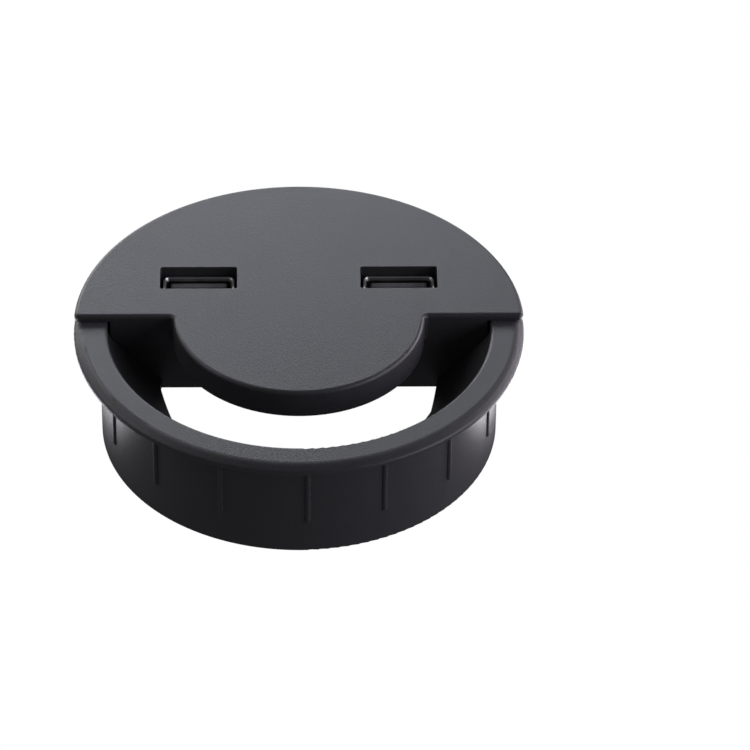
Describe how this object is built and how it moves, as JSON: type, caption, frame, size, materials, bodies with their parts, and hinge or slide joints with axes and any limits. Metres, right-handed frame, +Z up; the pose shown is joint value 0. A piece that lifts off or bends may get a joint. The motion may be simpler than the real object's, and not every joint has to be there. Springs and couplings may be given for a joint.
{
  "type": "desk grommet",
  "caption": "Round desk grommet: a flanged sleeve for a desk hole, and a half-round lift-out cover with a tongue, a cable opening and upright USB-A sockets.",
  "frame": {"origin": "on the grommet's axis at the flange's underside, where it meets the desk top", "axes": "+Z up out of the desk along the grommet's axis; the cable opening faces -Y; +X to the right seen from -Y"},
  "size_m": [0.088, 0.088, 0.026],
  "materials": {
    "charcoal_plastic": "fine-grained satin ABS",
    "nickel_steel": "nickel-plated stamped sheet",
    "socket_plastic": "smooth moulded thermoplastic",
    "contact_gold": "thin gold plating",
    "board_laminate": "green solder mask on glass laminate",
    "chip_black": "moulded epoxy",
    "tinned_copper": "bright tin",
    "crystal_steel": "drawn steel can",
    "capacitor_can": "drawn aluminium",
    "ceramic_tan": "fired ceramic",
    "resistor_black": "glazed film on ceramic",
    "fuse_green": "polymer laminate",
    "header_white": "natural nylon",
    "gland_rubber": "soft matt rubber",
    "screw_steel": "zinc-plated steel"
  },
  "bodies": {
    "sleeve": {"grommet_sleeve": "charcoal_plastic"},
    "cover_module": {"cover_plate": "charcoal_plastic", "module_housing": "charcoal_plastic", "cord_gland": "gland_rubber", "circuit_board": "board_laminate", "port_shell_left": "nickel_steel", "port_shell_right": "nickel_steel", "port_insulator_left": "socket_plastic", "port_insulator_right": "socket_plastic", "port_contacts_left": "contact_gold", "port_contacts_right": "contact_gold", "controller_chip": "chip_black", "chip_leads": "tinned_copper", "crystal_can": "crystal_steel", "bulk_capacitors": "capacitor_can", "ceramic_capacitors": "ceramic_tan", "chip_resistors": "resistor_black", "resettable_fuse": "fuse_green", "cord_header": "header_white", "header_pins": "tinned_copper", "housing_screws": "screw_steel", "board_screws": "screw_steel"}
  },
  "joints": [
    {"name": "cover_lift", "type": "slide", "parent": "sleeve", "child": "cover_module", "axis": [0, 0, 1], "range_m": [0, 0.024]}
  ]
}
